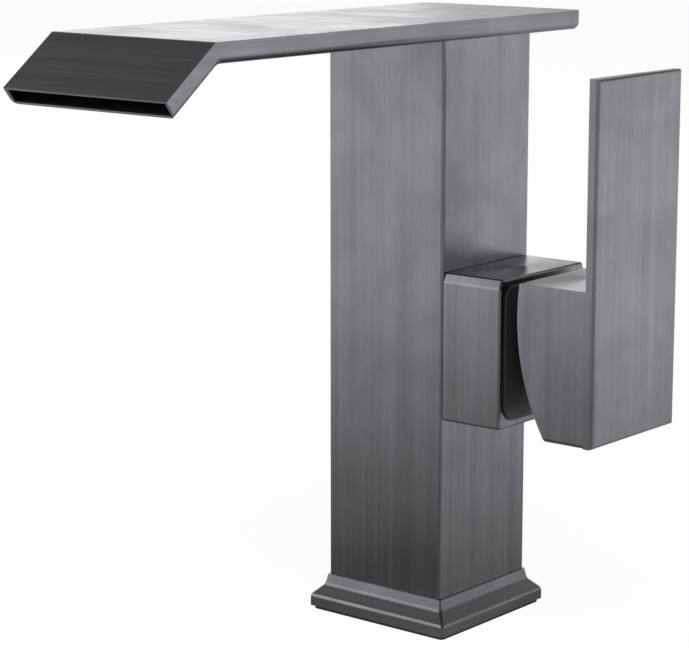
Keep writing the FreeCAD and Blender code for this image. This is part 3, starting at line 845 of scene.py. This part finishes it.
@dataclass
class Column:
    """The square upright tube and the square housing on its lever side."""

    edge_radius: float = 0.0011
    edge_steps: int = 5
    wall: float = 0.0025
    bore_corner: float = 0.0010
    crown_height: float = 0.0026
    crown_depth: float = 0.0012
    crown_edge: float = 0.0004
    housing_foot: float = 0.0007
    housing_end_edge: float = 0.0007
    end_overlap: float = 0.0006
    valve_gap: float = 0.0001

    def build(self) -> None:
        """Builds the tube and the housing."""
        self.build_tube()
        self.build_housing()

    def valve_hole(self, start_x: float, end_x: float) -> Solid:
        """Makes the cutter of the round hole that the valve body fills.

        Args:
            start_x: where it starts along X.
            end_x: where it ends.

        Returns:
            The cutter as a solid.
        """
        low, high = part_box("valve_body")
        return Solid.rod(X, Vector((start_x, 0.0, (low.z + high.z) / 2)), end_x - start_x,
                         (high.z - low.z) / 2 + self.valve_gap)

    def build_tube(self) -> None:
        """Builds the tube with its round edges, its hollow and its valve hole."""
        low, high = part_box("column_shell")
        tube = Solid.block(low, high)
        tube.bevel(self.edge_radius, along(Z), segments=self.edge_steps)
        inset = Vector((self.wall, self.wall, -THROUGH))
        hollow = Solid.block(low + inset, high - inset).bevel(self.bore_corner, along(Z))
        tube.with_tools(Join.CUT, hollow, self.valve_hole(0.0, high.x + THROUGH))
        place_piece(tube, "column", Body.FAUCET, UPRIGHT_GUNMETAL, "column_shell")

    def build_housing(self) -> None:
        """Builds the housing with its top drawn in, a softer foot and the valve's mouth."""
        low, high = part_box("side_housing")
        high.x += self.end_overlap
        crown_z = high.z - self.crown_height
        side = [low, Vector((low.x, low.y, crown_z)),
                Vector((low.x, low.y + self.crown_depth, high.z))]
        other_side = [Vector((low.x, -point.y, point.z)) for point in reversed(side)]
        housing = Solid.prism(side + other_side, X.vector * (high.x - low.x))
        housing.bevel(self.housing_foot, along(X), level_with(Z, low.z))
        for ridge_z in (crown_z, high.z):
            housing.bevel(self.crown_edge, along(X), level_with(Z, ridge_z))
        for end in (low.x, high.x):
            housing.bevel(self.housing_end_edge, level_with(X, end))
        housing.with_tools(Join.CUT, self.valve_hole(low.x - THROUGH, high.x + THROUGH))
        place_piece(housing, "housing", Body.FAUCET, FINE_GUNMETAL, "side_housing")


@dataclass
class Collar:
    """The black cover between the housing and the handle, whose black square plate is painted shade
    in the gap.
    """

    foot_height: float = 0.0005
    foot_radius: float = 0.0146
    plate_thickness: float = 0.0012
    corner_radius: float = 0.0040
    corner_steps: int = 8
    plate_edge: float = 0.0003
    plate_edge_steps: int = 3
    cone_radius: float = 0.0180
    neck_radius: float = 0.01068
    crown_width: float = 0.0015

    def build(self) -> None:
        """Builds a foot in the valve's mouth, a black square plate of painted shade over the
        housing's end and a cone up to the neck.
        """
        low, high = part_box("trim_collar")
        centre = Vector((low.x, 0.0, (low.z + high.z) / 2))
        plate_top = self.foot_height + self.plate_thickness
        # Painted shade: this black square plate covers the housing's end, where the gap to the hub
        # holds only shade
        plate = Solid.block(Vector((low.x + self.foot_height, low.y, low.z)),
                            Vector((low.x + plate_top, high.y, high.z)))
        plate.bevel(self.corner_radius, along(X), segments=self.corner_steps)
        plate.bevel(self.plate_edge, level_with(X, low.x + plate_top),
                    segments=self.plate_edge_steps)
        middle = plate_top / 2
        foot = Solid.rod(X, centre, middle, self.foot_radius)
        top = high.x - low.x
        profile = [(middle, self.neck_radius), (middle, self.cone_radius),
                   (plate_top, self.cone_radius), (top, self.neck_radius + self.crown_width),
                   (top, self.neck_radius)]
        cone = Solid.turned(X, centre, profile)
        bore = Solid.drill(X, centre, top, self.neck_radius, through=True)
        plate.with_tools(Join.WELD, foot, cone).with_tools(Join.CUT, bore)
        place_piece(plate, "collar", Body.FAUCET, BLACK_MOULDING_AND_SHADE, "trim_collar")


@dataclass
class Handle:
    """The side lever: an arched hub, an upright blade and the plug over the set screw."""

    inner_inset: float = 0.0010
    relief_radius: float = 0.0650
    relief_rise: float = 0.0120
    relief_steps: int = 28
    hub_edge: float = 0.0003
    hub_foot_edge: float = 0.0010
    pocket_radius: float = 0.0142
    pocket_depth: float = 0.0050
    socket_half: float = 0.0031
    socket_end: float = 0.0003
    screw_hole_radius: float = 0.00255
    plug_hole_gap: float = 0.00005
    blade_edge: float = 0.0012
    blade_edge_steps: int = 6
    plug_dome: float = 0.0003
    plug_steps: int = 8

    def build(self) -> None:
        """Builds the hub, the blade and the plug."""
        self.build_hub()
        self.build_blade()
        self.build_plug()

    def build_hub(self) -> None:
        """Builds the hub: an arched inner face with eased rims, a pocket and the stem's socket."""
        low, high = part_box("handle_hub")
        low.x += self.inner_inset
        stem_low, stem_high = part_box("lever_stem")
        plug_low, plug_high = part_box("screw_plug")
        axis_z = (stem_low.z + stem_high.z) / 2

        def arch_x(z: float) -> float:
            """Where the arched face is at a height."""
            drop = z - (axis_z + self.relief_rise)
            return low.x + self.relief_radius - math.sqrt(self.relief_radius ** 2 - drop ** 2)

        def rim(edge: BMEdge) -> bool:
            """Tells whether an edge is eased.

            Args:
                edge: an edge of the hub.

            Returns:
                Whether it runs round the arched face or along the hub.
            """
            at_end = any(level_with(Z, z)(edge) for z in (low.z, high.z))
            on_arch = touching(lambda point: point.x - arch_x(point.z))(edge)
            return (on_arch and (at_end or not along(Y)(edge))) or along(X)(edge)

        steps = self.relief_steps
        heights = [low.z + (high.z - low.z) * step / steps for step in range(steps + 1)]
        arch = [Vector((arch_x(z), low.y, z)) for z in heights]
        outer = [Vector((high.x, low.y, z)) for z in (high.z, low.z)]
        hub = Solid.prism(arch + outer, Y.vector * (high.y - low.y))
        hub.bevel(self.hub_foot_edge, along(X), level_with(Z, low.z))
        hub.bevel(self.hub_edge, rim)
        pocket = Solid.drill(X, Vector((low.x, 0.0, axis_z)), self.pocket_depth, self.pocket_radius)
        half = self.socket_half
        socket = Solid.block(Vector((low.x - THROUGH, -half, axis_z - half)),
                             Vector((stem_high.x + self.socket_end, half, axis_z + half)))
        foot = (plug_low + plug_high) / 2
        foot.z = low.z
        screw_hole = Solid.drill(Z, foot, axis_z - low.z, self.screw_hole_radius)
        plug_hole = Solid.drill(Z, foot, plug_high.z - low.z,
                                (plug_high.x - plug_low.x) / 2 + self.plug_hole_gap)
        hub.with_tools(Join.CUT, pocket, socket, screw_hole, plug_hole)
        place_piece(hub, "hub", Body.LEVER, UPRIGHT_GUNMETAL, "handle_hub")

    def build_blade(self) -> None:
        """Builds the flat blade with its outer edges eased."""
        low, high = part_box("handle_blade")
        blade = Solid.block(low, high)
        blade.bevel(self.blade_edge, level_with(X, high.x), segments=self.blade_edge_steps)
        place_piece(blade, "blade", Body.LEVER, UPRIGHT_GUNMETAL, "handle_blade")

    def build_plug(self) -> None:
        """Builds the push-in plug with a softly domed face."""
        low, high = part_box("screw_plug")
        radius = (high.x - low.x) / 2
        centre = (low + high) / 2
        centre.z = low.z
        profile = [(high.z - low.z, 0.0), (high.z - low.z, radius)]
        for step in range(self.plug_steps + 1):
            turn = math.radians(90.0) * step / self.plug_steps
            profile.append((self.plug_dome * (1.0 - math.sin(turn)), radius * math.cos(turn)))
        plug = Solid.turned(Z, centre, profile)
        place_piece(plug, "plug", Body.LEVER, PLUG_MOULDING, "screw_plug")


@dataclass
class Spout:
    """The flat waterfall spout: a bent cover with skirts and the channel's bottom tray."""

    thickness: float = 0.0054
    sheet: float = 0.0008
    skirt: float = 0.0012
    gap: float = 0.0001
    lip_length: float = 0.0215
    lip_angle: float = math.radians(37.0)
    back_corner: float = 0.0022
    lower_edge: float = 0.0020
    lower_edge_steps: int = 6
    upper_edge: float = 0.00025
    crease_rounding: float = 0.0004
    mouth_chamfer: float = 0.0005
    tray_edge: float = 0.0002
    thin_edge_steps: int = 2
    rib_width: float = 0.0015
    rib_offset: float = 0.0090
    rib_start: float = 0.0320
    rib_end_margin: float = 0.0060
    passage_radius: float = 0.0040
    screw_hole_radius: float = 0.00155
    screw_head_radius: float = 0.0027
    high: Vector = field(init=False)
    bend_y: float = field(init=False)
    crease: Vector = field(init=False)
    slope: Vector = field(init=False)
    inward: Vector = field(init=False)

    def __post_init__(self) -> None:
        """Takes the spout's reach from the frame and works out its bend."""
        low, self.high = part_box("spout_cover")
        level, drop = math.cos(self.lip_angle), math.sin(self.lip_angle)
        self.bend_y = low.y + self.lip_length * level
        self.crease = Vector((0.0, self.bend_y, self.high.z))
        self.slope = Vector((0.0, -level, -drop))
        self.inward = Vector((0.0, drop, -level))

    def build(self) -> None:
        """Builds the cover and the tray."""
        self.build_cover()
        self.build_tray()

    def layer(self, upper: float, lower: float, half: float, back_inset: float,
              overrun: float = 0.0) -> Solid:
        """Makes a bent slab of the spout.

        Args:
            upper: how far its upper face lies under the spout's top.
            lower: the same for its lower face.
            half: half its width.
            back_inset: how far short of the back end it starts.
            overrun: how far past the lip's end it goes.

        Returns:
            The slab as a solid.
        """
        side = X.vector * half
        faces = []
        for depth in (upper, lower):
            z = self.high.z - depth
            back = Vector((0.0, self.high.y - back_inset, z))
            bend = Vector((0.0, self.bend_y + depth * math.tan(self.lip_angle / 2), z))
            tip = self.crease + self.slope * (self.lip_length + overrun) + self.inward * depth
            faces.append([point - side for point in (back, bend, tip)])
        return Solid.prism(faces[0] + faces[1][::-1], side * 2)

    def depth(self, point: Vector) -> float:
        """How far a point lies under the spout's bent top face."""
        return min(self.high.z - point.z, self.inward.dot(point - self.crease))

    def before_mouth(self, point: Vector) -> float:
        """How far a point lies short of the lip's end."""
        return self.lip_length - self.slope.dot(point - self.crease)

    def inside(self, edge: BMEdge) -> bool:
        """Tells whether an edge bounds the channel under the cover.

        Args:
            edge: an edge of the cover.

        Returns:
            Whether both its ends are between the skirts and under the top sheet.
        """
        half = self.high.x - self.skirt
        return all(abs(vert.co.x) < half + TOUCH and self.depth(vert.co) > self.sheet - TOUCH
                   for vert in edge.verts)

    def build_cover(self) -> None:
        """Builds the bent cover, hollow underneath and open at the lip's end."""
        at_mouth = touching(self.before_mouth)

        def lower(edge: BMEdge) -> bool:
            """Tells whether an edge is at the skirts' foot, the mouth's own edge left out."""
            at_foot = touching(lambda point: self.depth(point) - self.thickness)(edge)
            return at_foot and not at_mouth(edge)

        def upper(edge: BMEdge) -> bool:
            """Tells whether an edge runs along a side of the top face."""
            return touching(self.depth)(edge) and not (along(X)(edge) or at_mouth(edge))

        cover = self.layer(0.0, self.thickness, self.high.x, 0.0)
        cover.bevel(self.back_corner, along(Z), level_with(Y, self.high.y))
        cover.bevel(self.lower_edge, lower, segments=self.lower_edge_steps)
        cover.bevel(self.crease_rounding, along(X), level_with(Y, self.bend_y))
        cover.bevel(self.upper_edge, upper, segments=self.thin_edge_steps)
        half = self.high.x - self.skirt
        hollow = self.layer(self.sheet, self.thickness + THROUGH, half, self.skirt, THROUGH)
        cover.with_tools(Join.CUT, hollow)
        cover.bevel(self.mouth_chamfer, at_mouth, self.inside, segments=1)
        place_piece(cover, "spout_top", Body.FAUCET, CROSS_GUNMETAL, "spout_cover")

    def build_tray(self) -> None:
        """Builds the tray with its two ribs, the water passage and the screw holes."""
        half = self.high.x - self.skirt - self.gap
        tray = self.layer(self.thickness - self.sheet, self.thickness, half, self.skirt + self.gap)
        tray.bevel(self.tray_edge, segments=self.thin_edge_steps)
        under_z = self.high.z - self.thickness
        ribs = []
        for middle in (-self.rib_offset, self.rib_offset):
            rib_low = Vector((middle - self.rib_width / 2, self.bend_y + self.rib_end_margin,
                              under_z + self.sheet / 2))
            rib_high = Vector((middle + self.rib_width / 2, -self.rib_start,
                               self.high.z - self.sheet - self.gap))
            ribs.append(Solid.block(rib_low, rib_high))
        tray.with_tools(Join.WELD, *ribs)
        seal_low, seal_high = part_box("spout_seal")
        passage = (seal_low + seal_high) / 2
        passage.z = under_z
        holes = [Solid.drill(Z, passage, self.sheet, self.passage_radius, through=True)]
        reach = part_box("spout_screws")[1].x - self.screw_head_radius
        for x, y in product((-reach, reach), repeat=2):
            place = Vector((x, y, under_z))
            holes.append(Solid.drill(Z, place, self.sheet, self.screw_hole_radius, through=True))
        tray.with_tools(Join.CUT, *holes)
        place_piece(tray, "spout_floor", Body.FAUCET, CROSS_GUNMETAL, "spout_tray")


@dataclass
class InnerWorks:
    """The pieces that keep their CAD shape: tubes, seals, cartridge and screws."""

    finishes: tuple[Finish, ...] = NODE_FINISHES

    def dress(self) -> None:
        """Gives each node the finish of its slot, and reports those that keep their shape."""
        by_slot = {finish.slot: finish for finish in self.finishes}
        for part in frame["record"]["subparts"]:
            node = frame["nodes"][part["node"]]
            finish = by_slot[Slot(part["material_slot"])]
            finish.put_on(node)
            if not node.hide_render:
                log.info("%s: kept from the frame in %s", part["node"], finish.name)


def hang(name: str, data: bpy.types.ID, place: Triple, way: Vector) -> Object:
    """Hangs a lamp or a camera in the studio.

    Args:
        name: its name.
        data: the lamp or the camera.
        place: where it hangs.
        way: the way that it looks.

    Returns:
        The object that holds it.
    """
    holder = bpy.data.objects.new(name, data)
    holder.location = place
    holder.rotation_euler = way.to_track_quat("-Z", "Y").to_euler()
    bpy.context.scene.collection.objects.link(holder)
    return holder


@dataclass(frozen=True)
class Lamp:
    """A large soft lamp aimed at the faucet."""

    name: str
    place: Triple
    size: float
    power: float
    mirrored: bool

    def build(self) -> None:
        """Hangs the lamp out of the camera's sight."""
        lamp = bpy.data.lights.new(self.name, "AREA")
        lamp.size = self.size
        lamp.energy = self.power
        holder = hang(self.name, lamp, self.place, -Vector(self.place))
        holder.visible_camera = False
        holder.visible_glossy = self.mirrored


KEY_LAMP = Lamp("key_lamp", (0.9, -1.1, 1.9), size=1.2, power=48.0, mirrored=False)
BACK_LAMP = Lamp("back_lamp", (-1.46, 1.23, 0.42), size=0.83, power=2.5, mirrored=True)
EDGE_LAMP = Lamp("edge_lamp", (-1.24, -1.32, 0.92), size=0.9, power=2.2, mirrored=True)


@dataclass
class Studio:
    """A pale floor, a soft world and three large lamps."""

    floor_half: float = 8.0
    floor_gap: float = 0.0001
    floor_tone: float = 0.90
    white_share: float = 0.95
    dim_centre: Triple = (-0.038, -0.047, 0.0)
    dim_span: Span = (0.02, 0.60)
    dim_tone: float = 0.22
    shade_centre: Triple = (-0.040, 0.130, 0.0)
    shade_scale: Triple = (10.0, 6.2, 1.0)
    shade_span: Span = (0.6, 1.2)
    shade_tone: float = 0.25
    overhead_span: Span = (0.30, 0.58)
    overhead_tone: float = 0.17
    right_span: Span = (0.2, 0.7)
    right_drop: float = 0.30
    front_way: Triple = (0.636, -0.772, 0.0)
    front_span: Span = (0.3, 0.9)
    front_tone: float = 0.45

    def build(self) -> None:
        """Builds the floor, the world and the lamps."""
        bpy.context.scene.view_settings.view_transform = "Standard"
        self.build_floor()
        self.build_world()
        for lamp in (KEY_LAMP, BACK_LAMP, EDGE_LAMP):
            lamp.build()

    def build_floor(self) -> None:
        """Lays a wide pale floor that keeps the faucet's shadow.

        To mirror rays its emission holds painted shade close to the faucet, behind it and in front,
        and the metal reflects that painted shade.
        """
        solid = Solid()
        bmesh.ops.create_grid(solid.bm, x_segments=1, y_segments=1, size=self.floor_half,
                              matrix=Matrix.Translation((0.0, 0.0, -self.floor_gap)))
        floor = solid.as_object("floor")
        paint = bpy.data.materials.new("pale_floor")
        paint.use_nodes = True
        sheet = NodeSheet(paint.node_tree)
        place = sheet.add("ShaderNodeTexCoord").outputs["Object"]
        # Painted shade: the emission that mirror rays see is dimmed near the faucet, behind it and
        # on the front side
        offset = sheet.vectors("SUBTRACT", place, self.dim_centre)
        away = sheet.spread(sheet.vectors("LENGTH", offset), self.dim_span, (self.dim_tone, 1.0))
        behind = sheet.vectors("SUBTRACT", place, self.shade_centre)
        reach = sheet.vectors("LENGTH", sheet.vectors("MULTIPLY", behind, self.shade_scale))
        shade = sheet.spread(reach, self.shade_span, (self.shade_tone, 1.0), smooth=True)
        front = self.dim_in_front(sheet, sheet.vectors("NORMALIZE", offset))
        painted_shade_glow = sheet.maths("MULTIPLY", sheet.maths("MULTIPLY", away, shade), front)
        ray = sheet.add("ShaderNodeLightPath").outputs
        seen = sheet.blend(ray["Is Camera Ray"], painted_shade_glow, WHITE)
        white = sheet.lay("ShaderNodeEmission", {"Color": seen, "Strength": 1.0})
        matt = sheet.lay("ShaderNodeBsdfDiffuse", {"Color": (self.floor_tone,) * 3})
        direct = sheet.maths("MULTIPLY", ray["Is Camera Ray"], self.white_share)
        mirrored = sheet.maths("MAXIMUM", ray["Is Glossy Ray"], ray["Is Transmission Ray"])
        share = sheet.maths("MAXIMUM", direct, mirrored)
        mixed = sheet.lay("ShaderNodeMixShader", {0: share, 1: matt, 2: white})
        sheet.add("ShaderNodeOutputMaterial", {"Surface": mixed})
        floor.data.materials.append(paint)

    def dim_in_front(self, sheet: NodeSheet, way: NodeSocket) -> NodeSocket:
        """The share of light that the room's dim front leaves in a direction."""
        facing = sheet.vectors("DOT_PRODUCT", way, self.front_way)
        return sheet.spread(facing, self.front_span, (1.0, self.front_tone), smooth=True)

    def build_world(self) -> None:
        """Makes a room that is white round the horizon, and dim overhead and in front.

        On the right the dim part comes down lower.
        """
        world = bpy.data.worlds.new("studio")
        bpy.context.scene.world = world
        world.use_nodes = True
        sheet = NodeSheet(world.node_tree)
        way = sheet.add("ShaderNodeTexCoord").outputs["Generated"]
        parts = sheet.add("ShaderNodeSeparateXYZ", {0: way}).outputs
        drop = sheet.spread(parts["X"], self.right_span, (0.0, self.right_drop), smooth=True)
        height = sheet.maths("ADD", parts["Z"], drop)
        upward = sheet.spread(height, self.overhead_span, (1.0, self.overhead_tone), smooth=True)
        tone = sheet.maths("MULTIPLY", upward, self.dim_in_front(sheet, way))
        ray = sheet.add("ShaderNodeLightPath").outputs
        seen = sheet.blend(ray["Is Camera Ray"], tone, WHITE)
        sky = sheet.lay("ShaderNodeBackground", {"Color": seen, "Strength": 1.0})
        sheet.add("ShaderNodeOutputWorld", {"Surface": sky})


@dataclass(frozen=True)
class Viewpoint:
    """The camera that stands where the photograph was taken from."""

    eye: Triple = (0.4165, -0.5443, 0.21934)
    azimuth: float = math.radians(39.46)
    elevation: float = math.radians(11.14)
    focal_pixels: float = 2403.0
    image_width: float = 689.0
    sensor_width: float = 36.0

    def build(self) -> None:
        """Sets up the scene's camera."""
        camera = bpy.data.cameras.new("camera")
        camera.sensor_fit = "HORIZONTAL"
        camera.sensor_width = self.sensor_width
        camera.lens = self.sensor_width * self.focal_pixels / self.image_width
        level = math.cos(self.elevation)
        back = Vector((math.sin(self.azimuth) * level, -math.cos(self.azimuth) * level,
                       math.sin(self.elevation)))
        bpy.context.scene.camera = hang("camera", camera, self.eye, -back)


def main() -> None:
    """Builds every sub-assembly, the studio and the camera."""
    logging.basicConfig(level=logging.INFO, format="%(message)s")
    for assembly in (Base(), Inlet(), Column(), Collar(), Handle(), Spout()):
        assembly.build()
    InnerWorks().dress()
    Studio().build()
    Viewpoint().build()


if __name__ == "__main__":
    main()
